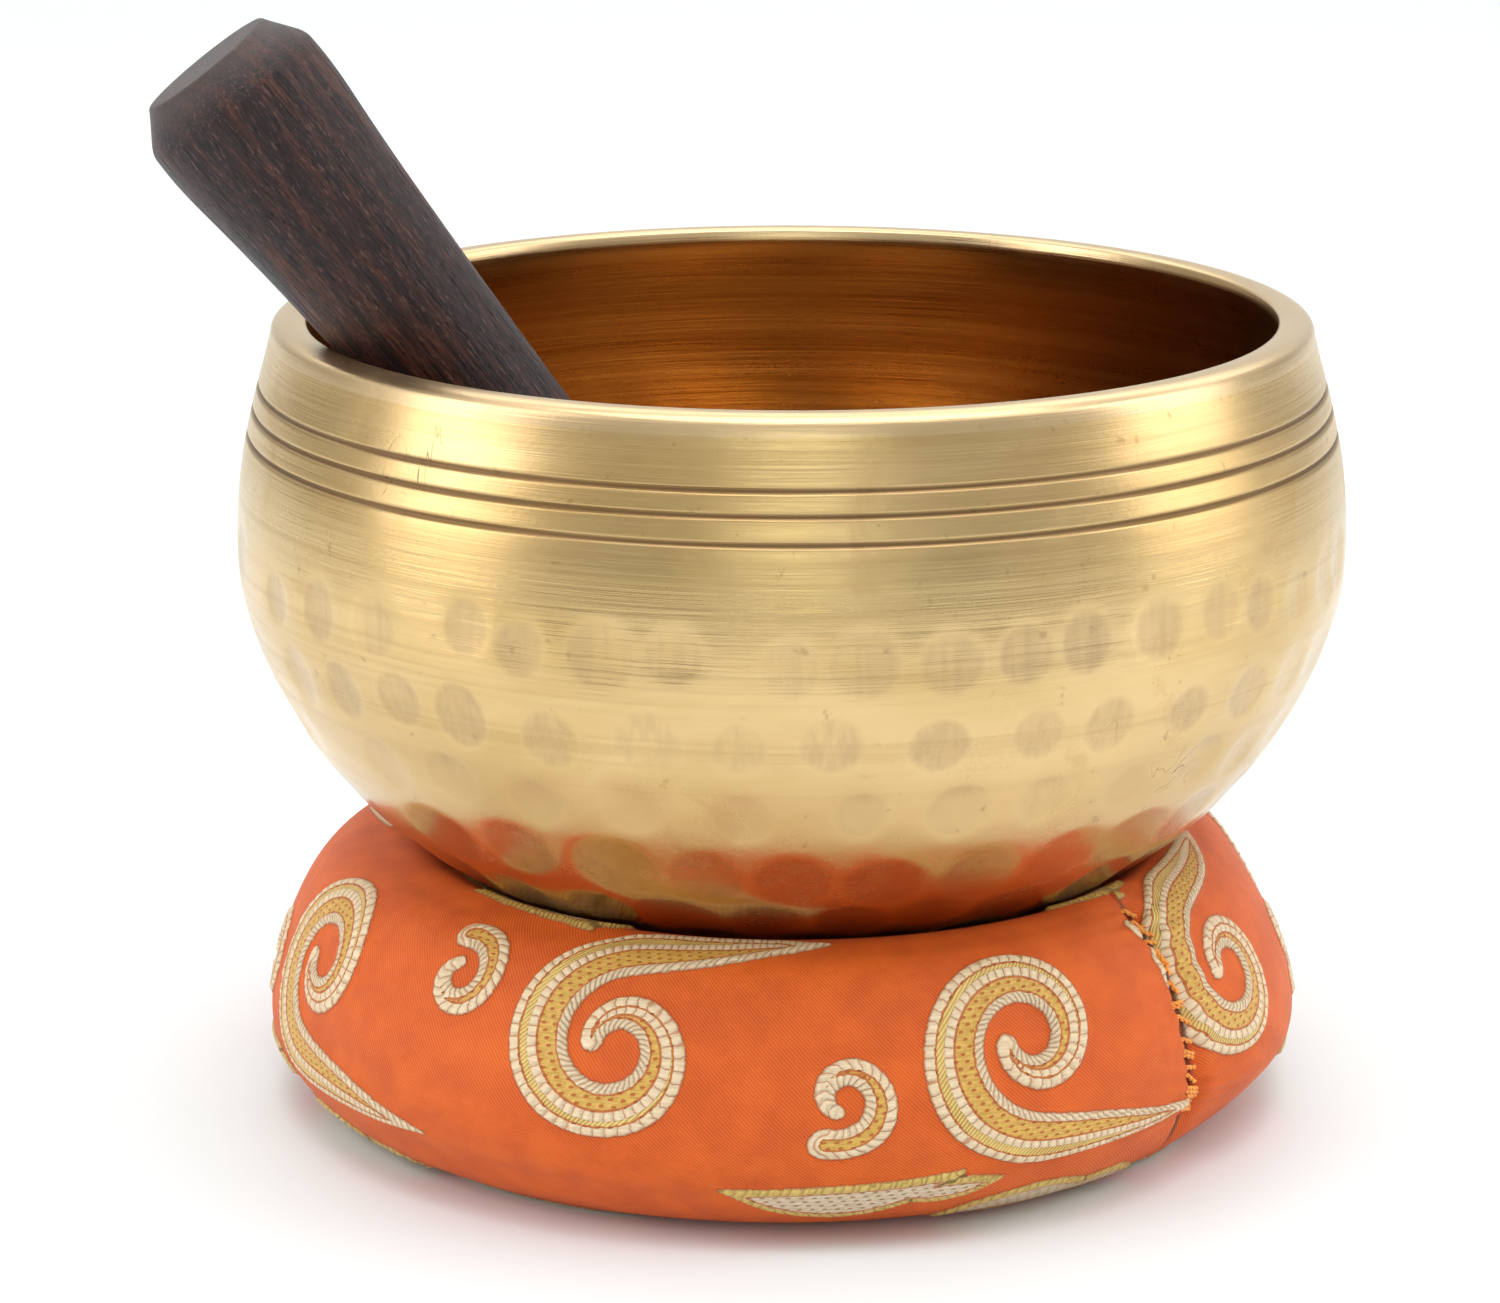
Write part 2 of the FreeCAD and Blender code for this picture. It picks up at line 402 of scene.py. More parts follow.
# the inside is turned above and lightly hammered low down; only the hammering is shaped here, the computed turned lines
# are not applied
q0 = o1 + n_rim
in_z = prof[q0:, 1]
ring_lines = 0.012 * np.sin(in_z / 0.9 * PI2) + 0.01 * np.sin(in_z / 2.3 * PI2 + 1)
for k, (z0, step) in enumerate(((47, 13), (39, 14), (33, 17), (29.3, 22))):
    kz = int(np.argmin(np.abs(prof[q0:q0 + n_in, 1] - z0)))
    r0 = prof[q0 + kz, 0]
    a = rng.uniform(0, 10)
    ss = np.r_[0.0, np.cumsum(np.linalg.norm(np.diff(prof[q0:], axis=0), axis=1))]
    while a < 354:
        R = rng.uniform(4.0, 5.4)
        da = np.abs((ang - math.radians(a) + math.pi) % PI2 - math.pi) * r0
        i = np.where(da < R)[0]
        j = np.where(np.abs(ss - ss[kz]) < R)[0]
        rho = np.hypot(da[i][:, None], (ss[j] - ss[kz])[None, :]) / R
        dd = -0.10 * np.clip(1 - rho ** 2, 0, 1)
        sub = disp[np.ix_(i, q0 + j)]
        disp[np.ix_(i, q0 + j)] = np.minimum(sub, dd)
        a += step * rng.uniform(0.9, 1.1)
zone_v[:, o1 - 1:o1 + n_rim] = 1.0
zone_v[:, q0:] = 2.0
P = lathe_object("bowl", prof, NU_B, disp)
nv = len(prof)
verts = P.reshape(-1, 3) * MM
faces = quads(NU_B, nv, False).tolist()
pole0, pole1 = len(verts), len(verts) + 1
verts = np.vstack([verts, [[0, 0, prof[0, 1] * MM], [0, 0, prof[-1, 1] * MM]]])
for i in range(NU_B):
    k = (i + 1) % NU_B
    faces.append([k * nv, i * nv, pole0])
    faces.append([i * nv + nv - 1, k * nv + nv - 1, pole1])
if signed_volume(verts, faces) < 0:
    faces = [f[::-1] for f in faces]
bowl = mesh_object("bowl_hammered", verts, faces)
pad2 = lambda a, v0, v1: np.r_[a.ravel(), v0, v1]
add_value(bowl, "groove", pad2(groove_v, 0, 0))
add_value(bowl, "dimple", pad2(dimple_v, 0, 0))
add_value(bowl, "zone", pad2(zone_v, 0, 2))


def brass():
    s = Shade("hammered_brass_finish")
    o = s.obj()
    x, y, z = s.xyz(o)
    zmm = s.mul(z, 1000.0)
    zone, dim, gro = s.attr("zone"), s.attr("dimple"), s.attr("groove")
    inside_f = s.step(zone, 1.4, 1.7)
    rim_f = s.mul(s.step(zone, 0.35, 0.75), s.sub(1.0, inside_f))
    streak = s.noise(s.scale(o, (9, 9, 700)), 1.0, 5.0, 0.65)
    fine = s.noise(s.scale(o, (40, 40, 3200)), 1.0, 3.0, 0.6)
    broad = s.noise(s.scale(o, (22, 22, 60)), 1.0, 4.0, 0.55, 0.4)
    patch = s.noise(o, 75.0, 5.0, 0.62, 0.6)
    speck = s.noise(o, 420.0, 3.0, 0.6)
    upper = s.step(zmm, 69.0, 76.0)
    # base metal: tan gold, browner where handled and in the hammer marks
    c = s.mix(s.step(broad, 0.32, 0.68), (0.60, 0.40, 0.165), (0.72, 0.505, 0.245))
    wallc = s.m("MAXIMUM", s.step(zmm, 44.0, 60.0), inside_f)
    c = s.mix(s.mul(s.mul(s.step(streak, 0.46, 0.74), 0.36), wallc), c, (0.43, 0.265, 0.105))
    c = s.mix(s.mul(s.mul(s.step(fine, 0.5, 0.8), 0.16), wallc), c, (0.80, 0.62, 0.36))
    vstreak = s.noise(s.scale(o, (900, 900, 70)), 1.0, 3.0, 0.6)
    hand = s.noise(o, 38.0, 2.0, 0.5)
    row_f = s.sub(1.0, s.mul(s.mul(s.step(zmm, 44.0, 47.5), s.step(zmm, 53.0, 50.0)), 0.7))
    mark_tone = s.mul(s.mul(row_f, s.step(dim, 0.12, 0.55)), s.mad(s.step(vstreak, 0.35, 0.7), 0.45, s.mul(s.step(hand, 0.35, 0.62), 0.55)))
    c = s.mix(s.mul(mark_tone, 0.62), c, (0.44, 0.30, 0.165))
    # painted highlight: a faint bright ring on the edge of each hammer mark
    painted_light_halo = s.mul(s.step(dim, 0.02, 0.12), s.step(dim, 0.34, 0.16))
    c = s.mix(s.mul(painted_light_halo, 0.03), c, (0.86, 0.68, 0.40))
    c = s.mix(s.mul(s.step(patch, 0.60, 0.74), 0.30), c, (0.46, 0.26, 0.10))
    c = s.mix(s.mul(s.step(speck, 0.66, 0.74), 0.34), c, (0.22, 0.12, 0.05))
    # painted reflection: a darker band on the wall just below the turned lines, broken up by broad noise
    tone = s.mul(s.mul(s.step(zmm, 66.0, 71.5), s.step(zmm, 78.5, 76.0)), s.mad(broad, 0.6, 0.15))
    c = s.mix(s.mul(tone, 0.45), c, (0.47, 0.34, 0.155))
    # short dark scratches
    scr = s.noise(s.scale(o, (130, 130, 30)), 1.0, 2.0, 0.5, 1.6)
    scr = s.m("ABSOLUTE", s.sub(scr, 0.5))
    keep = s.step(s.noise(o, 42.0, 2.0), 0.66, 0.72)
    scratch = s.mul(s.step(scr, 0.006, 0.0015), keep)
    c = s.mix(s.mul(scratch, 0.65), c, (0.16, 0.09, 0.04))
    # inside: darker, redder, brushed, with painted shade under the rim and on the right side
    ci = s.mix(s.step(streak, 0.30, 0.70), (0.44, 0.215, 0.062), (0.66, 0.375, 0.13))
    ci = s.mix(s.mul(s.step(broad, 0.5, 0.75), 0.4), ci, (0.34, 0.15, 0.045))
    # painted shade: the top of the inner wall darker under the overhanging rim
    ci = s.mix(s.mul(s.step(zmm, 74.0, 89.0), 0.50), ci, (0.19, 0.078, 0.025))
    # painted shade: the right side of the inner wall darker
    ci = s.mix(s.mul(s.step(s.mad(x, 1000.0, s.mul(y, 260.0)), 22.0, 56.0), 0.66), ci, (0.13, 0.055, 0.022))
    c = s.mix(inside_f, c, ci)
    c = s.mix(s.mul(rim_f, 0.55), c, (0.76, 0.56, 0.34))
    c = s.mix(s.m("POWER", gro, 0.7), c, (0.10, 0.045, 0.020))
    s.put(s.p.inputs["Base Color"], c)
    s.p.inputs["Metallic"].default_value = 1.0
    r = s.mad(streak, 0.12, 0.165)
    r = s.add(r, s.mul(upper, 0.06))
    r = s.add(r, s.mul(s.step(patch, 0.45, 0.75), 0.09))
    r = s.add(r, s.mul(scratch, 0.2))
    r = s.add(r, s.mul(gro, 0.25))
    s.put(s.p.inputs["Roughness"], r)
    wall = s.m("MAXIMUM", s.step(zmm, 46.0, 62.0), inside_f)
    b = s.bump(s.mul(streak, wall), 0.00016, 0.5)
    b = s.bump(s.mul(fine, wall), 0.00005, 0.6, b)
    b = s.bump(s.add(s.noise(o, 60.0, 2.0, 0.5), s.mul(scratch, -0.3)), 0.00030, 0.22, b)
    b = s.bump(s.noise(o, 1500.0, 3.0, 0.6), 0.00002, 0.6, b)
    s.put(s.p.inputs["Normal"], b)
    return s.mat


bowl.data.materials.append(brass())
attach(bowl, "bowl")
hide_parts("bowl")

# ============================================================ striker
S_DIR = np.array([-0.6074, -0.0670, 0.7915])
S_DIR /= np.linalg.norm(S_DIR)
S_HEAD = np.array([-39.9, -18.6, 91.46]) + S_DIR * 38.9
S_L = 116.8
S_FOOT = S_HEAD - S_DIR * S_L
sx = np.cross(S_DIR, [0, 1, 0]); sx /= np.linalg.norm(sx)
sy = np.cross(S_DIR, sx)
L = S_L
tail = [(0.15, 0), (1.6, 0), (3.2, 0), (4.45, 0.02), (4.75, 0.12), (5.5, 0.68), (6.1, 1.15), (6.3, 1.6), (6.5, 2.4)]
side = spline([(6.6, 3.2), (6.75, L - 94), (7.25, L - 71), (8.15, L - 48), (9.25, L - 28), (10.25, L - 14.5),
               (10.75, L - 7.5), (10.7, L - 4.8)], 170)
head = [(10.6, L - 4.35), (10.44, L - 3.95), (10.2, L - 3.5), (9.65, L - 2.72), (9.1, L - 1.95), (8.55, L - 1.18), (8.12, L - 0.55),
        (7.92, L - 0.22), (7.72, L - 0.05), (7.45, L), (6.6, L), (5.2, L), (3.6, L), (2.0, L), (0.8, L), (0.15, L)]
sp = np.array(tail + side.tolist() + head)
NU_S = 300
sa = np.arange(NU_S) / NU_S * PI2
# open pores and a faint flat here and there, all inwards
sd = np.zeros((NU_S, len(sp)))
on_side = np.zeros(len(sp)); on_side[len(tail):len(tail) + len(side)] = 1
for _ in range(950):
    a0, t0, ln = rng.uniform(0, PI2), rng.uniform(3, L - 4), rng.uniform(1.6, 6.5)
    i0 = int(a0 / PI2 * NU_S)
    j = np.where((np.abs(sp[:, 1] - t0) < ln) & (on_side > 0))[0]
    w = 0.075 * rng.uniform(0.5, 1) * np.clip(1 - (np.abs(sp[j, 1] - t0) / ln) ** 2, 0, 1)
    sd[i0 % NU_S, j] -= w
sd -= on_side[None, :] * (0.05 + 0.05 * np.cos(2 * sa + 0.7))[:, None] * np.sin(sp[:, 1] / L * 3)[None, :] ** 2
Q = lathe_object("s", sp, NU_S, sd)
Qv = np.vstack([Q.reshape(-1, 3), [[0, 0, 0], [0, 0, L]]])
W = S_FOOT + Qv[:, :1] * sx + Qv[:, 1:2] * sy + Qv[:, 2:3] * S_DIR
nv = len(sp)
faces = quads(NU_S, nv, False).tolist()
for i in range(NU_S):
    k = (i + 1) % NU_S
    faces.append([k * nv, i * nv, len(Q.reshape(-1, 3))])
    faces.append([i * nv + nv - 1, k * nv + nv - 1, len(Q.reshape(-1, 3)) + 1])
if signed_volume(W, faces) < 0:
    faces = [f[::-1] for f in faces]
striker = mesh_object("striker_turned", W * MM, faces)
add_value(striker, "grain", Qv, kind="FLOAT_VECTOR")


def rosewood():
    s = Shade("dark_hardwood_finish")
    g = s.attr("grain", True)
    gx, gy, gt = s.xyz(g)
    # growth rings seen lengthwise, tilted a little so that they run out on the side
    cx = s.add(gx, s.mad(gt, 0.035, 34.0))
    cy = s.add(gy, s.mad(gt, -0.02, 11.0))
    warp = s.noise(s.scale(g, (0.10, 0.10, 0.018)), 1.0, 3.0, 0.5)
    rad = s.m("SQRT", s.add(s.mul(cx, cx), s.mul(cy, cy)))
    ringf = s.m("FRACT", s.mul(s.mad(warp, 7.0, rad), 0.42))
    ring = s.m("ABSOLUTE", s.sub(s.mul(ringf, 2.0), 1.0))
    fib = s.noise(s.scale(g, (2.7, 2.7, 0.13)), 1.0, 6.0, 0.72)
    fleck = s.noise(s.scale(g, (3.4, 3.4, 0.62)), 1.0, 3.0, 0.65)
    fib2 = s.noise(s.scale(g, (6.5, 6.5, 0.22)), 1.0, 3.0, 0.6)
    mott = s.noise(s.scale(g, (0.28, 0.28, 0.06)), 1.0, 4.0, 0.6)
    pore = s.noise(s.scale(g, (7.0, 7.0, 0.42)), 1.0, 2.0, 0.5)
    c = s.ramp(s.mad(ring, 0.28, s.mul(fib, 0.86)),
               [(0.24, (0.006, 0.0030, 0.0036)), (0.44, (0.016, 0.0072, 0.0072)),
                (0.60, (0.036, 0.0125, 0.0095)), (0.82, (0.085, 0.030, 0.020))])
    c = s.mix(s.mul(s.step(mott, 0.40, 0.62), 0.60), c, (0.020, 0.0145, 0.0175))
    red = s.mul(s.step(mott, 0.47, 0.36), s.step(fib, 0.40, 0.66))
    c = s.mix(s.mul(red, 0.75), c, (0.105, 0.034, 0.018))
    c = s.mix(s.mul(s.step(fleck, 0.55, 0.70), 0.62), c, (0.150, 0.075, 0.060))
    c = s.mix(s.mul(s.step(fleck, 0.44, 0.34), 0.60), c, (0.004, 0.002, 0.0022))
    c = s.mix(s.mul(s.step(fib2, 0.56, 0.76), 0.40), c, (0.16, 0.085, 0.066))
    pores = s.step(pore, 0.62, 0.69)
    c = s.mix(s.mul(pores, 0.85), c, (0.003, 0.0015, 0.0015))
    # paler end face and chamfer: a painted reflection, broken up by end-grain noise
    end_reflection_mask = s.step(gt, L - 3.6, L - 0.6)
    endgrain = s.noise(s.scale(g, (3.2, 3.2, 0.4)), 1.0, 4.0, 0.6)
    c = s.mix(s.mul(end_reflection_mask, s.mad(endgrain, 0.5, 0.20)), c, (0.10, 0.075, 0.068))
    s.put(s.p.inputs["Base Color"], c)
    r = s.mad(fib, 0.22, 0.34)
    r = s.add(r, s.mul(pores, 0.25))
    s.put(s.p.inputs["Roughness"], r)
    s.p.inputs["Specular IOR Level"].default_value = 0.27
    s.p.inputs["Coat Weight"].default_value = 0.04
    s.p.inputs["Coat Roughness"].default_value = 0.35
    s.p.inputs["Sheen Weight"].default_value = 0.03
    s.p.inputs["Sheen Roughness"].default_value = 0.5
    b = s.bump(fib, 0.00022, 0.55)
    b = s.bump(s.mul(pores, -1.0), 0.00018, 0.7, b)
    b = s.bump(fib2, 0.00008, 0.5, b)
    s.put(s.p.inputs["Normal"], b)
    return s.mat


striker.data.materials.append(rosewood())
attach(striker, "striker")
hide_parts("striker")

# ============================================================ ring cushion
SECTION = [(36, 0), (30.2, .9), (25.2, 3.9), (22.4, 8.6), (21.6, 13.4), (22.2, 18), (24.6, 21.4), (28.6, 23.2),
           (33.5, 24.85), (38.2, 27.25), (42.3, 29.75), (45.6, 30.9), (49.2, 30.7), (52.2, 28.9), (54.6, 25.9),
           (56.9, 21.6), (59, 16.6), (60.3, 11.6), (60.6, 8.3), (59.9, 4.9), (57.2, 2), (52.8, .45), (48, 0)]
JOINT = math.radians(-38.0)
sec = spline(SECTION, 2400)
flat = np.stack([np.linspace(48, 36, 302)[1:-1], np.zeros(300)], 1)
sec = np.vstack([sec, flat])
SEC_LEN = np.r_[0.0, np.cumsum(np.linalg.norm(np.diff(sec, axis=0), axis=1))]
SEC_LEN = np.r_[SEC_LEN, SEC_LEN[-1] + np.linalg.norm(sec[0] - sec[-1])]
PERIM = SEC_LEN[-1]
sec = np.vstack([sec, sec[:1]])


def section_at(s):
    s = np.mod(s, PERIM)
    return np.stack([np.interp(s, SEC_LEN, sec[:, 0]), np.interp(s, SEC_LEN, sec[:, 1])], -1)


def ring_points(az, s, off=0.0):
    """Ring surface at azimuths az and section lengths s, moved out by off along the normal."""
    p = section_at(s)
    e = 0.25
    t = section_at(s + e) - section_at(s - e)
    t /= np.linalg.norm(t, axis=1, keepdims=True)
    r = p[:, 0] - t[:, 1] * off
    z = p[:, 1] + t[:, 0] * off
    return np.stack([r[None, :] * np.cos(az)[:, None], r[None, :] * np.sin(az)[:, None],
                     z[None, :] + 0 * az[:, None]], -1)


def az_from_joint(az):
    return (az - JOINT + math.pi) % PI2 - math.pi


def tug(P, N_out, az, s, strength=1.0):
    """What the hand sewing does: the joint is drawn in and puckers run away from it."""
    d = az_from_joint(az)[:, None] * 58.0
    p = section_at(s)
    outer = smooth01(s, 53.0, 60.0) * (1 - smooth01(s, 90.0, 97.0))
    outer = outer[None, :]
    along = s[None, :]
    valley = -1.5 * np.exp(-(d / 1.5) ** 2) - 1.1 * np.exp(-(d / 8.0) ** 2)
    puck = 0.34 * np.cos((along - 57.0) / 3.1 * PI2 + np.sign(d) * 0.6) * np.exp(-np.abs(d) / 4.2) * (1 - np.exp(-(d / 1.2) ** 2))
    return P + N_out * ((valley + puck) * outer * strength)[..., None]


RUN_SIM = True


def simulate_ring(nu, nv):
    """Inflate a coarse ring of cloth between its sewn lines. Returns its change of shape."""
    az = JOINT + np.arange(nu) / nu * PI2
    s = np.arange(nv) / nv * PERIM
    P0 = ring_points(az, s, -1.0)
    N = grid_normals(P0)
    c = section_at(s).mean(0)
    if np.einsum("ijk,ijk->", N, P0 - np.stack([np.cos(az) * 42, np.sin(az) * 42, 0 * az + 15], -1)[:, None, :]) < 0:
        N = -N
    P0 = tug(P0, N, az, s)
    ob = mesh_object("sim_ring", P0.reshape(-1, 3) * MM, quads(nu, nv, True).tolist())
    if signed_volume(P0.reshape(-1, 3), ob.data.polygons and [list(p.vertices) for p in ob.data.polygons]) < 0:
        ob.data.flip_normals()
    p = section_at(s)
    pin = np.zeros((nu, nv))
    pin[:, (p[:, 1] < 0.6) & (p[:, 0] > 34) & (p[:, 0] < 51)] = 1.0
    pin[:, (np.abs(p[:, 1] - 8.6) < 1.4) & (p[:, 0] < 24)] = 1.0
    pin[:, (p[:, 0] > 27) & (p[:, 0] < 44.5) & (p[:, 1] > 20)] = 1.0
    pin[0, (s > 55) & (s < 95)] = 1.0
    g = ob.vertex_groups.new(name="pin")
    for k in np.where(pin.ravel() > 0)[0]:
        g.add([int(k)], 1.0, "REPLACE")
    m = ob.modifiers.new("cloth", "CLOTH")
    m.settings.quality = 6
    m.settings.mass = 0.25
    m.settings.tension_stiffness = 12.0
    m.settings.compression_stiffness = 9.0
    m.settings.shear_stiffness = 5.0
    m.settings.bending_stiffness = 0.35
    m.settings.use_pressure = True
    m.settings.uniform_pressure_force = 4.0
    m.settings.effector_weights.gravity = 0.0
    m.settings.vertex_group_mass = "pin"
    m.settings.pin_stiffness = 1.0
    m.collision_settings.use_collision = False
    m.point_cache.frame_start, m.point_cache.frame_end = 1, 20
    sc = bpy.context.scene
    for f in range(1, 21):
        sc.frame_set(f)
    dg = bpy.context.evaluated_depsgraph_get()
    e = ob.evaluated_get(dg)
    co = np.zeros(nu * nv * 3)
    e.data.vertices.foreach_get("co", co)
    sc.frame_set(1)
    D = co.reshape(nu, nv, 3) / MM - P0
    me = ob.data
    bpy.data.objects.remove(ob)
    bpy.data.meshes.remove(me)
    ln = np.linalg.norm(D, axis=2, keepdims=True)
    print("cloth: moved mean %.2f max %.2f mm" % (ln.mean(), ln.max()))
    cap = 2.6
    return D * np.minimum(1.0, cap / np.maximum(ln, 1e-9))


# cloth columns (one joint, where the pattern is cut) and section rows, finer outside
NU_C = 628
k = np.linspace(0, PERIM, 4001)
dens = 1.0 + 1.15 * smooth01(k, 50, 56) * (1 - smooth01(k, 90, 96)) + 0.15
cum = np.r_[0.0, np.cumsum((dens[1:] + dens[:-1]) / 2 * np.diff(k))]
NV_C = 152
s_rows = np.interp(np.arange(NV_C) / NV_C * cum[-1], cum, k)
# columns crowd at the joint
w = np.arange(NU_C) / NU_C * PI2
az_cols = JOINT + w - 0.55 * np.sin(w) * 0.0 - 0.30 * np.sin(w)
az_cols = JOINT + (w - 0.30 * np.sin(w))
az_rel = az_cols - JOINT                           # 0 .. 2 pi, growing anticlockwise
if RUN_SIM:
    CU, CV = 176, 64
    D = simulate_ring(CU, CV)
    SWELL = bicubic(D, az_rel / PI2 * CU, s_rows / PERIM * CV)
    start_off = -1.0
else:
    SWELL = 0.0
    start_off = 0.0
C = ring_points(az_cols, s_rows, start_off)
N = grid_normals(C)
mid = np.stack([np.cos(az_cols) * 42, np.sin(az_cols) * 42, 0 * az_cols + 15], -1)[:, None, :]
if np.einsum("ijk,ijk->", N, C - mid) < 0:
    N = -N
C = tug(C, N, az_cols, s_rows) + SWELL
if RUN_SIM:                                        # the sewn, pressed and resting bands keep their place
    held = (1 - smooth01(s_rows, 3, 8)) + smooth01(s_rows, 88, 96)
    held += smooth01(s_rows, 28, 34) * (1 - smooth01(s_rows, 52, 57))
    C += N * (np.clip(held, 0, 1) * 1.0)[None, :, None]
sr = s_rows[None, :]
ar = az_rel[:, None]
# the outer underside is rounder than its resting flat, and lifts near the joint
rr_ = np.hypot(C[..., 0], C[..., 1])
near_joint = np.exp(-((np.minimum(ar, PI2 - ar) - 0.10) / 0.42) ** 2)
C[..., 2] += (1.75 + 1.0 * near_joint) * smooth01(rr_, 48, 57.5) * (1 - smooth01(C[..., 2], 3.5, 15.0))
C[..., 0] -= 0.9 * smooth01(rr_, 40, 56)
C[..., 0] *= 1 + 0.012 * smooth01(rr_, 40, 56) * (C[..., 0] < 0)
# stuffing that isn't quite even, and gathers round the hole
lump = noise_rows(rng, NU_C, NV_C, 7, 2) * 0.34
C += N * (lump * (smooth01(sr, 54, 64) * (1 - smooth01(sr, 88, 96))))[..., None]
hole = smooth01(sr, 2, 9) * (1 - smooth01(sr, 24, 31))
gather = 0.42 * np.abs(np.sin(ar * 23 + 0.9 * np.sin(ar * 5) + 0.5 * np.sin(sr / 6.0))) ** 1.5
C -= N * (gather * hole * (0.5 + 0.5 * np.abs(np.sin(ar * 3.5))))[..., None]
seam_s = float(SEC_LEN[:1200][np.argmin(np.hypot(sec[:1200, 0] - 22.4, sec[:1200, 1] - 8.6))])
C -= N * (1.0 * np.exp(-((sr - seam_s) / 0.8) ** 2) + 0 * ar)[..., None]

# ---- woven design: a running scroll with curls and leaves, a stock ornament worked out
# from one logarithmic spiral, in cloth coordinates
KU = 58.0 * math.pi / 180.0                       # mm of cloth for each degree


def spiral(cu, cv, r0, decay, turns, start, w0, w1):
    t = np.linspace(0, 1, 24)
    a_ = start + PI2 * turns * t
    r_ = r0 * np.exp(-decay * turns * t)
    return np.stack([cu + r_ * np.cos(a_), cv + r_ * np.sin(a_), w0 + (w1 - w0) * t ** 1.3], 1)


def placed():
    """(kind, side of the plain band, [(mm along the ring, section mm, half width mm)]):
    kind 0 two-zone ribbon, 1 ivory leaf, 2 plain ribbon."""
    lead = np.array([(24.0, 15.4, 0.3), (17.0, 14.7, 1.7), (9.0, 13.5, 3.0)])
    leaf_ = np.array([(12.0, -17.4, 0.4), (18.0, -19.2, 2.5), (25.0, -19.6, 3.4), (32.0, -18.0, 2.3), (37.5, -15.4, 0.4)])
    bud = np.array([(-19.0, 17.5, 0.4), (-14.5, 18.6, 2.0), (-9.5, 18.4, 2.2), (-5.0, 17.6, 0.4)])
    big = np.vstack([lead, spiral(0, 0, 12.4, 1.16, 1.22, math.pi / 2, 3.8, 1.3)])
    curl = spiral(25.0, -4.6, 5.7, 1.25, 0.98, -math.pi * 0.62, 2.0, 0.8)
    pitch, out = 47.0, []
    for row, (cv, off) in enumerate(((70.0, 11.0), (114.0, 34.5), (26.0, 34.5))):
        k = -1
        while off + k * pitch < 395.0:
            f = 1.0 if (k + row) % 2 else -1.0
            for kind, side, pts in ((0, -f, big), (2, 0, curl), (1, 0, leaf_), (1, 0, bud)):
                q = pts.copy()
                q[:, 0] = q[:, 0] + off + k * pitch
                q[:, 1] = cv + f * q[:, 1]
                out.append((kind, side, q))
            k += 1
    return out


def catmull(p, step=0.7):
    p = np.vstack([2 * p[0] - p[1], p, 2 * p[-1] - p[-2]])
    out = []
    for i in range(1, len(p) - 2):
        n = max(3, int(np.linalg.norm(p[i + 1, :2] - p[i, :2]) / step))
        t = np.linspace(0, 1, n, endpoint=False)[:, None]
        out.append(0.5 * (2 * p[i] + (p[i + 1] - p[i - 1]) * t + (2 * p[i - 1] - 5 * p[i] + 4 * p[i + 1] - p[i + 2]) * t ** 2
                          + (3 * p[i] - p[i - 1] - 3 * p[i + 1] + p[i + 2]) * t ** 3))
    out.append(p[-2:-1])
    return np.vstack(out)


nuc1 = NU_C + 1
u_deg = np.degrees(np.r_[az_rel, PI2])
UU = np.repeat((u_deg * KU)[:, None], NV_C + 1, 1)
VV = np.repeat(np.r_[s_rows, PERIM][None, :], nuc1, 0)
F_sd = np.full(UU.shape, -6.0)
F_lat = np.zeros(UU.shape)
F_al = np.zeros(UU.shape)
F_kd = np.zeros(UU.shape)
F_hw = np.full(UU.shape, 2.0)
for kind, sd_, p in placed():
    c = catmull(p)
    hw = np.maximum(c[:, 2], 0.05)
    reach = hw.max() + 3.0
    iu = np.where((UU[:, 0] > c[:, 0].min() - reach) & (UU[:, 0] < c[:, 0].max() + reach))[0]
    jv = np.where((VV[0] > c[:, 1].min() - reach) & (VV[0] < c[:, 1].max() + reach))[0]
    if not len(iu) or not len(jv):
        continue
    ix = np.ix_(iu, jv)
    px, py = UU[ix].ravel(), VV[ix].ravel()
    a, b = c[:-1], c[1:]
    ab = b[:, :2] - a[:, :2]
    l2 = np.maximum((ab ** 2).sum(1), 1e-9)
    t = np.clip(((px[:, None] - a[None, :, 0]) * ab[None, :, 0] + (py[:, None] - a[None, :, 1]) * ab[None, :, 1]) / l2, 0, 1)
    dx = px[:, None] - (a[None, :, 0] + t * ab[None, :, 0])
    dy = py[:, None] - (a[None, :, 1] + t * ab[None, :, 1])
    dist = np.hypot(dx, dy)
    h = hw[:-1][None, :] * (1 - t) + hw[1:][None, :] * t
    sgd = h - dist
    best = np.argmax(sgd, 1)
    r_ = np.arange(len(px))
    s_best = sgd[r_, best]
    crs = (ab[best, 0] * dy[r_, best] - ab[best, 1] * dx[r_, best]) / np.sqrt(l2[best])
    run = np.r_[0.0, np.cumsum(np.sqrt(l2))]
    al = run[best] + t[r_, best] * np.sqrt(l2[best])
    shp = (len(iu), len(jv))
    take = s_best.reshape(shp) > F_sd[ix]
    for F, val in ((F_sd, s_best), (F_lat, crs / h[r_, best] * (sd_ if sd_ else 0)), (F_al, al),
                   (F_kd, np.full(len(px), float(kind))), (F_hw, h[r_, best])):
        G = F[ix]
        G[take] = val.reshape(shp)[take]
        F[ix] = G

# relief of the weaving, in geometry
sdg = F_sd[:-1, :-1]
latg, kdg = F_lat[:-1, :-1], F_kd[:-1, :-1]
relief = 0.30 * smooth01(sdg, -0.25, 0.55)
relief += 0.14 * np.exp(-((sdg - 0.65) / 0.42) ** 2)
two = (kdg < 0.5) & (np.abs(latg) > 0)
relief += 0.12 * two * np.exp(-((latg - 0.22) * F_hw[:-1, :-1] / 0.45) ** 2) * smooth01(sdg, 0.6, 1.4)
N = grid_normals(C)
if np.einsum("ijk,ijk->", N, C - mid) < 0:
    N = -N
C += N * relief[..., None]

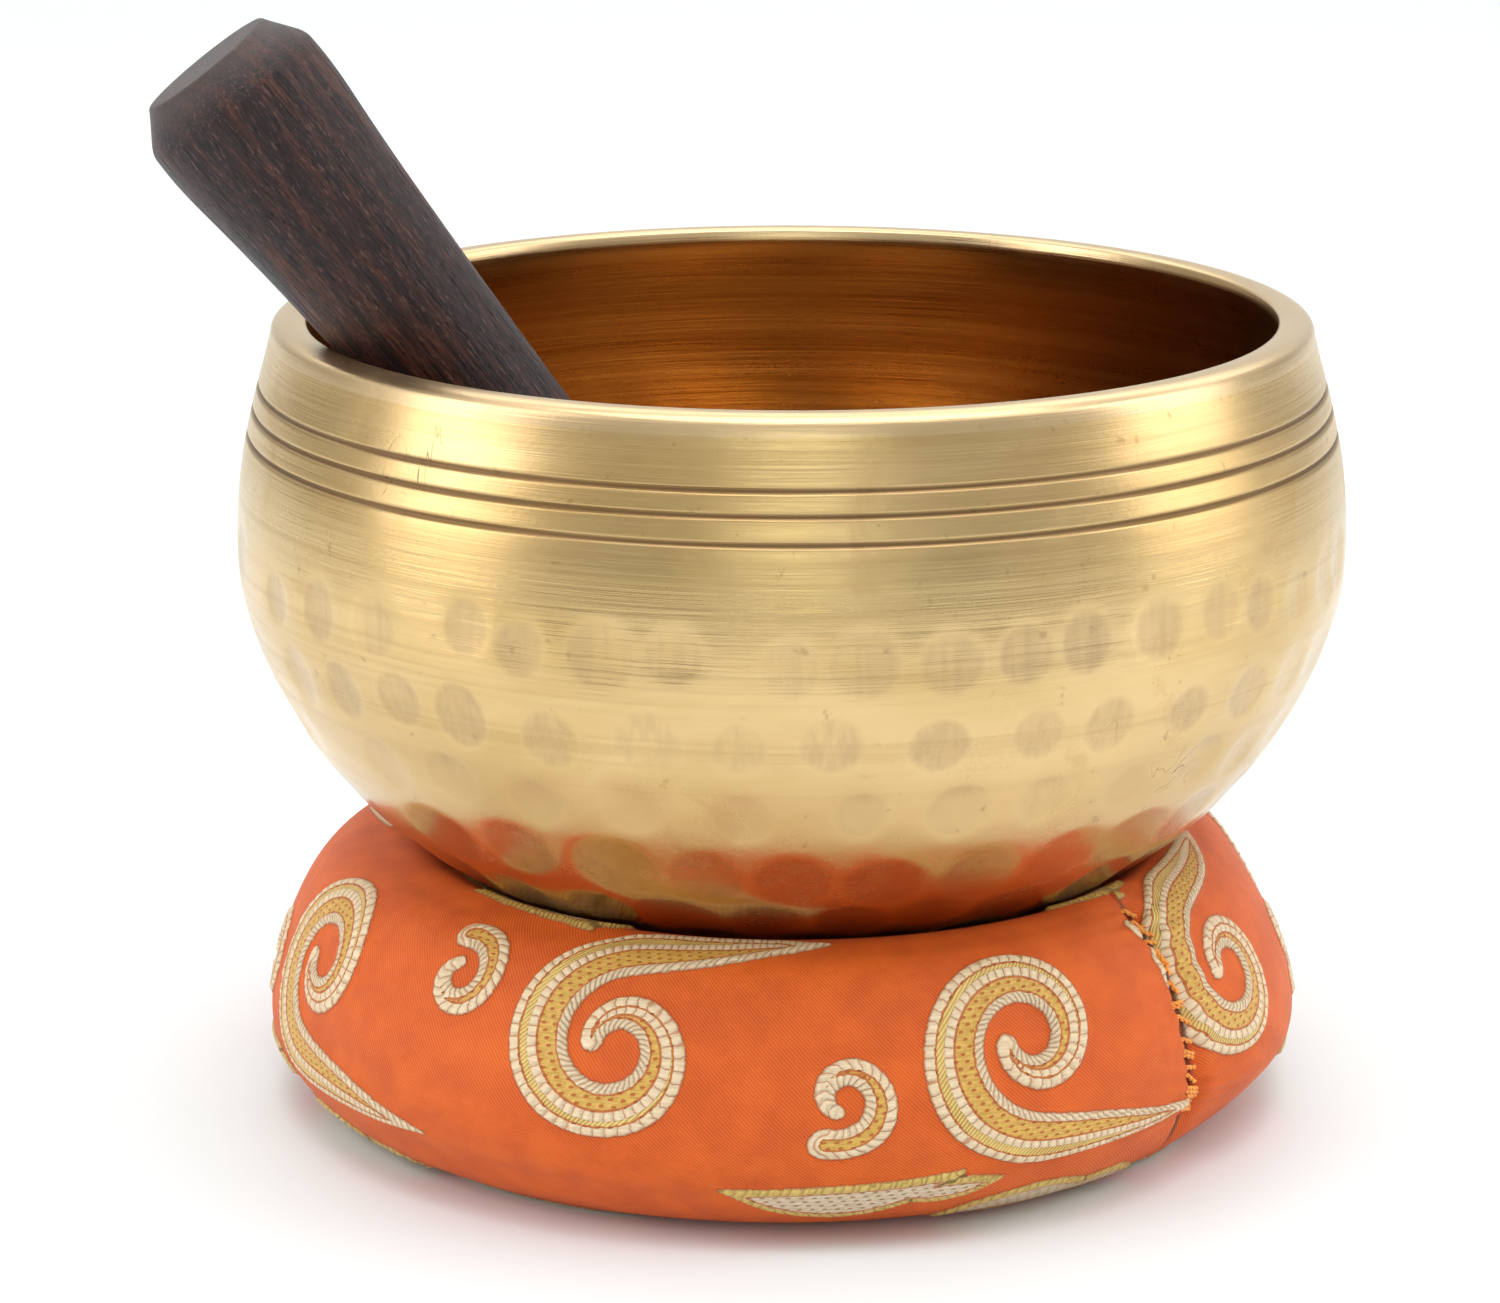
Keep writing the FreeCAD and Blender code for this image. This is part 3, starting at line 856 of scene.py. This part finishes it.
# rests on the table, and stays under the bowl
r_c = np.hypot(C[..., 0], C[..., 1])
top = bowl_under(r_c)
slope = np.gradient(np.interp(np.linspace(20, 63.4, 400), np.linspace(20, 63.4, 400), bowl_under(np.linspace(20, 63.4, 400))))
gap = 0.16 + 0.16 * smooth01(r_c, 40, 52)
over = (C[..., 2] > top - gap) & (C[..., 2] < 45) & (C[..., 2] > 18)
C[..., 2] = np.where(over, top - gap, C[..., 2])
C[..., 2] = np.maximum(C[..., 2], 0.03 + 0.05 * smooth01(relief, 0.0, 0.4) * 0)

verts = C.reshape(-1, 3) * MM
fq = quads(NU_C, NV_C, True)
flip = signed_volume(verts, fq.tolist()) < 0
cushion = mesh_object("ring_cushion_cover", verts, (fq[:, ::-1] if flip else fq).tolist())
ii, jj = np.meshgrid(np.arange(NU_C), np.arange(NV_C), indexing="ij")
ci = np.stack([ii, ii + 1, ii + 1, ii], -1).reshape(-1, 4)
cj = np.stack([jj, jj, jj + 1, jj + 1], -1).reshape(-1, 4)
if flip:
    ci, cj = ci[:, ::-1], cj[:, ::-1]


def corner(F):
    return F[ci, cj].ravel()


add_value(cushion, "cloth_u", corner(UU), "CORNER")
add_value(cushion, "cloth_v", corner(VV), "CORNER")
add_value(cushion, "motif", corner(F_sd), "CORNER")
add_value(cushion, "across", corner(np.where(F_kd < 0.5, F_lat, -1.0)), "CORNER")
add_value(cushion, "halfw", corner(F_hw), "CORNER")
add_value(cushion, "along", corner(F_al), "CORNER")
add_value(cushion, "kind", corner(F_kd), "CORNER")


def brocade():
    s = Shade("brocade_finish")
    u, v = s.attr("cloth_u"), s.attr("cloth_v")
    sd0, lat, hw = s.attr("motif"), s.attr("across"), s.attr("halfw")
    al, kd = s.attr("along"), s.attr("kind")
    uv = s.vec(u, v, 0.0)
    # the edge follows threads, so it is very slightly stepped
    jag = s.noise(s.scale(uv, (1.1, 1.6, 1)), 1.0, 2.0, 0.6)
    sd = s.mad(s.sub(jag, 0.5), 0.42, sd0)
    inm = s.step(sd, -0.04, 0.04)
    leaf = s.mul(s.step(kd, 0.5, 0.6), s.step(kd, 1.5, 1.4))
    rope_o = s.mul(inm, s.step(sd, 1.18, 1.10))
    dark_o = s.mul(s.step(sd, 1.10, 1.18), s.step(sd, 1.42, 1.34))
    latmm = s.mul(s.sub(lat, 0.20), hw)
    inner = s.step(sd, 1.36, 1.44)
    line = s.mul(inner, s.step(s.m("ABSOLUTE", latmm), 0.56, 0.48))
    band = s.mul(inner, s.step(latmm, 0.48, 0.56))
    dark_i = s.mul(s.mul(inner, s.step(latmm, -0.86, -0.78)), s.step(latmm, -0.46, -0.54))
    rope = s.m("MAXIMUM", rope_o, line)
    # rope: short slanted stitches
    k = s.add(s.mul(al, 1.0 / 1.02), s.mul(s.add(sd, latmm), 0.55))
    fr = s.m("FRACT", s.add(k, 200.0))
    rope_gap = s.mul(s.step(fr, 0.20, 0.06), rope)
    rope_h = s.m("SINE", s.mul(fr, math.pi))
    # fill: floats in brick bond, a dark prick at each end
    rowi = s.m("FLOOR", s.mul(v, 1 / 0.80))
    off = s.mul(s.m("FRACT", s.mul(rowi, 0.5)), 1.0)
    fu = s.m("FRACT", s.add(s.mad(u, 1 / 1.36, s.mul(v, 0.25)), off))
    fv = s.m("FRACT", s.mul(v, 1 / 0.80))
    du = s.mul(s.sub(fu, 0.5), 1.36)
    dv = s.mul(s.sub(fv, 0.5), 0.80)
    rr = s.m("SQRT", s.add(s.mul(s.mul(du, du), 0.55), s.mul(s.mul(dv, dv), 1.5)))
    dot = s.step(rr, 0.25, 0.14)
    floath = s.m("SINE", s.mul(fu, math.pi))
    thread = s.m("SINE", s.mul(s.mad(u, 0.42, s.mul(v, 1.0)), PI2 / 0.30))
    yarn = s.noise(s.scale(uv, (0.5, 3.4, 1)), 1.0, 2.0, 0.6)
    slant = s.m("SINE", s.mad(s.mad(u, 1.0, s.mul(v, 0.85)), PI2 / 0.52, s.mul(yarn, 2.2)))
    twill = s.m("SINE", s.mul(s.mad(u, 1.0, s.mul(v, -0.9)), PI2 / 0.46))
    weft = s.m("SINE", s.mul(v, PI2 / 0.21))
    vary = s.noise(s.scale(uv, (0.16, 0.16, 1)), 1.0, 3.0, 0.55)
    # colours
    ground = s.mix(s.step(vary, 0.30, 0.72), (0.60, 0.080, 0.0045), (0.74, 0.118, 0.0065))
    ground = s.mix(s.mul(s.step(twill, 0.1, 1.0), 0.36), ground, (0.88, 0.205, 0.026))
    ground = s.mix(s.mul(s.step(twill, -0.3, -1.0), 0.30), ground, (0.40, 0.048, 0.004))
    ground = s.mix(s.mul(s.step(yarn, 0.58, 0.80), 0.22), ground, (0.42, 0.045, 0.006))
    gold = s.mix(s.step(yarn, 0.32, 0.72), (0.54, 0.290, 0.050), (0.72, 0.435, 0.095))
    gold = s.mix(s.mul(s.step(thread, 0.1, 1.0), 0.25), gold, (0.80, 0.58, 0.23))
    gold_fill = s.mix(s.mul(dot, 0.88), gold, (0.50, 0.105, 0.02))
    gold_band = s.mix(s.step(vary, 0.35, 0.66), (0.56, 0.345, 0.075), (0.74, 0.50, 0.145))
    gold_band = s.mix(s.mul(s.step(slant, -0.1, 1.0), 0.62), gold_band, (0.90, 0.70, 0.30))
    gold_band = s.mix(s.mul(s.step(slant, -0.5, -1.0), 0.45), gold_band, (0.36, 0.185, 0.035))
    ivory = s.mix(s.step(yarn, 0.30, 0.75), (0.60, 0.45, 0.29), (0.80, 0.67, 0.49))
    ivory_fill = s.mix(s.mul(dot, 0.80), ivory, (0.33, 0.16, 0.05))
    white = s.mix(s.step(yarn, 0.25, 0.8), (0.72, 0.53, 0.33), (0.86, 0.70, 0.48))
    white = s.mix(s.mul(rope_gap, 0.72), white, (0.46, 0.15, 0.05))
    leaf_edge = s.mix(s.mul(rope_gap, 0.6), (0.66, 0.46, 0.13), (0.36, 0.17, 0.03))
    fill = s.mix(band, gold_fill, gold_band)
    fill = s.mix(leaf, fill, ivory_fill)
    c = s.mix(inm, ground, fill)
    c = s.mix(s.mul(s.m("MAXIMUM", dark_o, dark_i), 0.78), c, (0.45, 0.085, 0.02))
    edge = s.mix(leaf, white, leaf_edge)
    c = s.mix(rope, c, edge)
    # a thin painted shadow round each motif, painted shade on the motif edges, and painted shade in the fold of the
    # joint
    painted_light_halo = s.mul(s.step(sd, -0.30, -0.04), s.sub(1.0, inm))
    c = s.mix(s.mul(painted_light_halo, 0.45), c, (0.36, 0.05, 0.010))
    # painted shade on the sloping outer edge of each raised motif
    painted_edge_shade = s.mul(s.step(sd, 0.26, 0.02), inm)
    c = s.mix(s.mul(painted_edge_shade, 0.62), c, (0.40, 0.13, 0.035))
    # painted shade in the sewn fold of the joint, on the outer face
    total = 360.0 * KU
    near = s.m("MINIMUM", u, s.sub(total, u))
    outer = s.mul(s.step(v, 52.0, 57.0), s.step(v, 97.0, 93.0))
    painted_joint_shade = s.mul(s.step(near, 0.75, 0.15), outer)
    c = s.mix(s.mul(painted_joint_shade, 0.82), c, (0.055, 0.014, 0.006))
    s.put(s.p.inputs["Base Color"], c)
    rgh = s.mad(inm, -0.06, 0.50)
    rgh = s.add(rgh, s.mul(band, -0.10))
    rgh = s.add(rgh, s.mul(yarn, 0.10))
    s.put(s.p.inputs["Roughness"], rgh)
    s.p.inputs["Specular IOR Level"].default_value = 0.34
    s.p.inputs["Sheen Weight"].default_value = 0.07
    s.p.inputs["Sheen Roughness"].default_value = 0.42
    s.p.inputs["Sheen Tint"].default_value = (1.0, 0.62, 0.40, 1.0)
    # thread relief
    b = s.bump(s.mul(s.mul(rope, rope_h), 1.0), 0.00026, 0.9)
    fillm = s.mul(s.mul(inm, s.sub(1.0, rope)), s.sub(1.0, band))
    hfill = s.mul(fillm, s.sub(s.mul(floath, 0.7), s.mul(dot, 0.9)))
    b = s.bump(hfill, 0.00018, 0.85, b)
    hb = s.mul(band, slant)
    b = s.bump(hb, 0.00005, 0.8, b)
    hg = s.mul(s.sub(1.0, inm), s.add(s.mul(twill, 0.6), s.mul(weft, 0.4)))
    b = s.bump(hg, 0.000035, 0.8, b)
    s.put(s.p.inputs["Normal"], b)
    return s.mat


cushion.data.materials.append(brocade())
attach(cushion, "cushion")
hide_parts("cushion_cover")

# ---- stuffing: a loose ring of wadding just inside the cover
NU_F, NV_F = 220, 76
s_f = np.arange(NV_F) / NV_F * PERIM
az_f = np.arange(NU_F) / NU_F * PI2
Fp = ring_points(az_f, s_f, -4.8)
Fn = grid_normals(Fp)
if np.einsum("ijk,ijk->", Fn, Fp - np.stack([np.cos(az_f) * 42, np.sin(az_f) * 42, 0 * az_f + 15], -1)[:, None, :]) < 0:
    Fn = -Fn
# it follows the cover: lifted at the outer underside, drawn in at the joint
rel_f = np.abs(az_from_joint(az_f))[:, None]
r_f = np.hypot(Fp[..., 0], Fp[..., 1])
Fp[..., 2] += (2.2 + 1.3 * np.exp(-((rel_f - 0.10) / 0.42) ** 2)) * smooth01(r_f, 44, 55) * (1 - smooth01(Fp[..., 2], 3.5, 18.0))
Fp[..., 0] -= 0.9 * smooth01(r_f, 40, 56)
Fp -= Fn * (2.6 * np.exp(-(rel_f / 0.24) ** 2) * np.ones_like(r_f))[..., None]
tuft = noise_rows(rng, NU_F, NV_F, 40, 12) * 0.22 + noise_rows(rng, NU_F, NV_F, 18, 6) * 0.3
Fp += Fn * np.clip(tuft, -0.9, 0.9)[..., None]
Fv = Fp.reshape(-1, 3) * MM
ff = quads(NU_F, NV_F, True)
if signed_volume(Fv, ff.tolist()) < 0:
    ff = ff[:, ::-1]
stuffing = mesh_object("cushion_stuffing", Fv, ff.tolist())


def wadding():
    s = Shade("stuffing_finish")
    o = s.obj()
    a = s.noise(o, 260.0, 6.0, 0.7, 1.2)
    b_ = s.noise(o, 900.0, 3.0, 0.6, 2.0)
    c = s.mix(s.step(a, 0.3, 0.7), (0.74, 0.70, 0.61), (0.88, 0.86, 0.80))
    s.put(s.p.inputs["Base Color"], c)
    s.put(s.p.inputs["Roughness"], s.mad(b_, 0.15, 0.82))
    s.p.inputs["Sheen Weight"].default_value = 0.4
    s.put(s.p.inputs["Normal"], s.bump(s.add(a, b_), 0.0008, 0.8))
    return s.mat


stuffing.data.materials.append(wadding())
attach(stuffing, "cushion")
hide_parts("cushion_filling")


# ---- sewing threads
Nn = grid_normals(C)
if np.einsum("ijk,ijk->", Nn, C - mid) < 0:
    Nn = -Nn


def on_cloth(d_mm, s, lift):
    """Point on the finished cover, d_mm of cloth from the joint, at section length s."""
    a = (d_mm / 58.0) % PI2
    fi = float(np.interp(a, np.r_[az_rel, PI2], np.arange(NU_C + 1)))
    fj = float(np.interp(s, np.r_[s_rows, PERIM], np.arange(NV_C + 1)))
    i0, j0 = int(fi) % NU_C, int(fj) % NV_C
    i1, j1 = (i0 + 1) % NU_C, (j0 + 1) % NV_C
    a_, b_ = fi - int(fi), fj - int(fj)
    w4 = ((1 - a_) * (1 - b_), a_ * (1 - b_), a_ * b_, (1 - a_) * b_)
    ids = ((i0, j0), (i1, j0), (i1, j1), (i0, j1))
    p = sum(w_ * C[k_] for w_, k_ in zip(w4, ids))
    n = sum(w_ * Nn[k_] for w_, k_ in zip(w4, ids))
    return p + n / np.linalg.norm(n) * lift


def tube(path, radius, sides=8):
    path = np.asarray(path, float)
    t = np.gradient(path, axis=0)
    t /= np.linalg.norm(t, axis=1, keepdims=True)
    ref = np.array([0.3, 0.2, 0.93])
    V_, F_ = [], []
    rad = np.full(len(path), radius) if np.isscalar(radius) else radius
    for i_, (p, d) in enumerate(zip(path, t)):
        n1 = np.cross(d, ref); n1 /= np.linalg.norm(n1)
        n2 = np.cross(d, n1)
        for k_ in range(sides):
            a = k_ / sides * PI2
            V_.append(p + rad[i_] * (math.cos(a) * n1 + math.sin(a) * n2))
    m = len(path)
    for i_ in range(m - 1):
        for k_ in range(sides):
            k2 = (k_ + 1) % sides
            F_.append([i_ * sides + k_, i_ * sides + k2, (i_ + 1) * sides + k2, (i_ + 1) * sides + k_])
    F_.append([k_ for k_ in range(sides)][::-1])
    F_.append([(m - 1) * sides + k_ for k_ in range(sides)])
    return V_, F_


def twisted(path, radius, turns_mm=1.5, plies=2):
    """A thread of plies twisted round each other along path."""
    path = np.asarray(path, float)
    n_ = max(len(path) * 3, 14)
    path = np.stack([np.interp(np.linspace(0, 1, n_), np.linspace(0, 1, len(path)), path[:, k_]) for k_ in range(3)], 1)
    t = np.gradient(path, axis=0)
    t /= np.linalg.norm(t, axis=1, keepdims=True)
    run = np.r_[0.0, np.cumsum(np.linalg.norm(np.diff(path, axis=0), axis=1))]
    ref = np.array([0.3, 0.2, 0.93])
    V_, F_ = [], []
    for p_ in range(plies):
        ctr = []
        for q_, d, l_ in zip(path, t, run):
            n1 = np.cross(d, ref); n1 /= np.linalg.norm(n1)
            n2 = np.cross(d, n1)
            a = l_ / turns_mm * PI2 + p_ * PI2 / plies
            ctr.append(q_ + radius * 0.42 * (math.cos(a) * n1 + math.sin(a) * n2))
        v_, f_ = tube(ctr, radius * 0.60, 7)
        F_ += [[x_ + len(V_) for x_ in g_] for g_ in f_]
        V_ += v_
    return V_, F_


def thread_object(name, paths, radius):
    V_, F_ = [], []
    for path in paths:
        v_, f_ = twisted(path, radius)
        F_ += [[x_ + len(V_) for x_ in g_] for g_ in f_]
        V_ += v_
    return mesh_object(name, np.array(V_) * MM, F_)


paths = []
n_st = 17
for i in range(n_st):
    s0 = 57.0 + (89.5 - 57.0) * i / (n_st - 1) + rng.uniform(-0.25, 0.25)
    w0 = rng.uniform(0.85, 1.3)
    slant = rng.uniform(0.1, 1.25)
    pth = []
    for t in np.linspace(-1, 1, 11):
        bow = 0.10 + 0.34 * (1 - t * t)
        dip = -0.55 * max(0.0, abs(t) - 0.86) / 0.14
        sink = on_cloth(t * w0, s0 + slant * t, bow + dip)
        pth.append(sink)
    pth = np.array(pth)
    # the thread is drawn straight over the fold instead of following its bottom
    chord = pth[1] + (pth[-2] - pth[1]) * np.linspace(-0.12, 1.12, 11)[:, None]
    pth = pth * 0.45 + chord * 0.55
    paths.append(pth)
    if i % 3 == 1:                                  # a doubled stitch now and then
        q = pth.copy()
        q[:, 2] -= 0.45
        paths.append(q)
paths = [np.column_stack([q_[:, :2], np.maximum(q_[:, 2], 0.5)]) for q_ in paths]
stitches = thread_object("joint_stitching", paths, 0.27)

seam_paths = []
n_sm = 54
for i in range(n_sm):
    a0 = i / n_sm * PI2 * 58.0 + rng.uniform(-0.5, 0.5)
    pth = [on_cloth(a0 + t * 1.9, seam_s + 0.35 * math.sin(t * 2.2), 0.22 + 0.12 * (1 - t * t) - 0.5 * max(0.0, abs(t) - 0.8) / 0.2)
           for t in np.linspace(-1, 1, 7)]
    seam_paths.append(pth)
seam = thread_object("tube_seam_stitching", seam_paths, 0.22)


def thread_mat(name, c0, c1):
    s = Shade(name)
    o = s.obj()
    a = s.noise(o, 2600.0, 3.0, 0.6)
    b_ = s.noise(o, 380.0, 2.0, 0.5)
    c = s.mix(s.step(a, 0.35, 0.65), c0, c1)
    c = s.mix(s.mul(s.step(b_, 0.5, 0.7), 0.3), c, (0.55, 0.16, 0.02))
    s.put(s.p.inputs["Base Color"], c)
    s.put(s.p.inputs["Roughness"], s.mad(a, 0.2, 0.42))
    s.p.inputs["Sheen Weight"].default_value = 0.3
    s.put(s.p.inputs["Normal"], s.bump(a, 0.00006, 0.7))
    return s.mat


stitches.data.materials.append(thread_mat("joint_thread_finish", (0.86, 0.27, 0.02), (0.95, 0.42, 0.05)))
seam.data.materials.append(thread_mat("seam_thread_finish", (0.80, 0.24, 0.03), (0.90, 0.36, 0.06)))
for ob, node in ((stitches, "joint_stitches"), (seam, "tube_seam_thread")):
    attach(ob, "cushion")
    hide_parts(node)

# ============================================================ stage and light
pts, fcs = [], []
path = [(-1.6, 0.0), (-0.8, 0.0), (0.0, 0.0), (1.0, 0.0), (2.2, 0.0), (2.8, 0.06), (3.3, 0.28), (3.6, 0.7), (3.7, 1.3), (3.72, 2.6)]
for y, z in path:
    for x in np.linspace(-3.2, 3.2, 13):
        pts.append((x, y, z))
for i in range(len(path) - 1):
    for j in range(12):
        a = i * 13 + j
        fcs.append([a, a + 1, a + 14, a + 13])
sweep = mesh_object("studio_sweep", np.array(pts), fcs)
s = Shade("studio_white")
o = s.obj()
dust = s.noise(o, 900.0, 2.0, 0.5)
scuff = s.m("ABSOLUTE", s.sub(s.noise(s.scale(o, (30, 90, 30)), 1.0, 2.0, 0.5, 1.0), 0.5))
mask = s.step(s.noise(o, 14.0, 2.0), 0.56, 0.66)
c = s.mix(s.mul(s.mul(s.step(scuff, 0.006, 0.001), mask), 0.10), (0.80, 0.825, 0.84), (0.50, 0.55, 0.62))
c = s.mix(s.mul(s.step(dust, 0.80, 0.84), 0.35), c, (0.3, 0.3, 0.32))
s.put(s.p.inputs["Base Color"], c)
s.put(s.p.inputs["Roughness"], s.mad(dust, 0.1, 0.5))
s.p.inputs["Specular IOR Level"].default_value = 0.25
sweep.data.materials.append(s.mat)
sweep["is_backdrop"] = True


def area(name, loc, target, size, power, color=(1, 1, 1)):
    d = bpy.data.lights.new(name, "AREA")
    d.shape = "RECTANGLE"
    d.size, d.size_y = size
    d.energy = power
    d.color = color
    ob = bpy.data.objects.new(name, d)
    bpy.context.scene.collection.objects.link(ob)
    ob.location = loc
    ob.rotation_euler = (Vector(target) - Vector(loc)).to_track_quat("-Z", "Y").to_euler()
    return ob


area("top_softbox", (0.05, -0.10, 0.95), (0, 0, 0.05), (0.9, 0.9), 5.5, (0.97, 0.99, 1.0))
area("left_softbox", (-0.85, -0.25, 0.42), (0, 0, 0.06), (0.5, 0.8), 3.1, (0.98, 0.99, 1.0))
area("right_softbox", (0.85, -0.05, 0.42), (0, 0, 0.06), (0.5, 0.8), 2.7, (0.98, 0.99, 1.0))
area("back_light", (0.0, 1.9, 1.7), (0, 2.0, 0.0), (4.0, 1.6), 26.0, (0.98, 1.0, 1.0))
area("front_fill", (0.02, -1.25, 0.32), (0, 0, 0.06), (0.55, 0.28), 0.9, (0.90, 1.0, 0.90))

world = bpy.data.worlds.new("world")
bpy.context.scene.world = world
world.use_nodes = True
wn, wl = world.node_tree.nodes, world.node_tree.links
wn.clear()
wo = wn.new("ShaderNodeOutputWorld")
bg = wn.new("ShaderNodeBackground")
tc = wn.new("ShaderNodeTexCoord")
sx_ = wn.new("ShaderNodeSeparateXYZ")
mr = wn.new("ShaderNodeMapRange")
mr.inputs[1].default_value, mr.inputs[2].default_value = -0.2, 1.0
cr = wn.new("ShaderNodeValToRGB")
stops = [(0.0, (0.95, 0.97, 0.98)), (0.17, (0.62, 0.63, 0.60)), (0.34, (0.50, 0.50, 0.47)), (0.52, (0.80, 0.82, 0.83)), (0.75, (0.98, 1.0, 1.0))]
e = cr.color_ramp.elements
while len(e) < len(stops):
    e.new(0.5)
for i, (p_, c_) in enumerate(stops):
    e[i].position = p_
    e[i].color = (*c_, 1.0)
wl.new(tc.outputs["Generated"], sx_.inputs[0])
wl.new(sx_.outputs[2], mr.inputs[0])
wl.new(mr.outputs[0], cr.inputs[0])
wl.new(cr.outputs[0], bg.inputs[0])
bg.inputs[1].default_value = 0.85
wl.new(bg.outputs[0], wo.inputs[0])

sc = bpy.context.scene
sc.view_settings.view_transform = "Standard"
sc.view_settings.look = "None"
sc.view_settings.exposure = 0.0
sc.view_settings.gamma = 1.0

lo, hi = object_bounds()
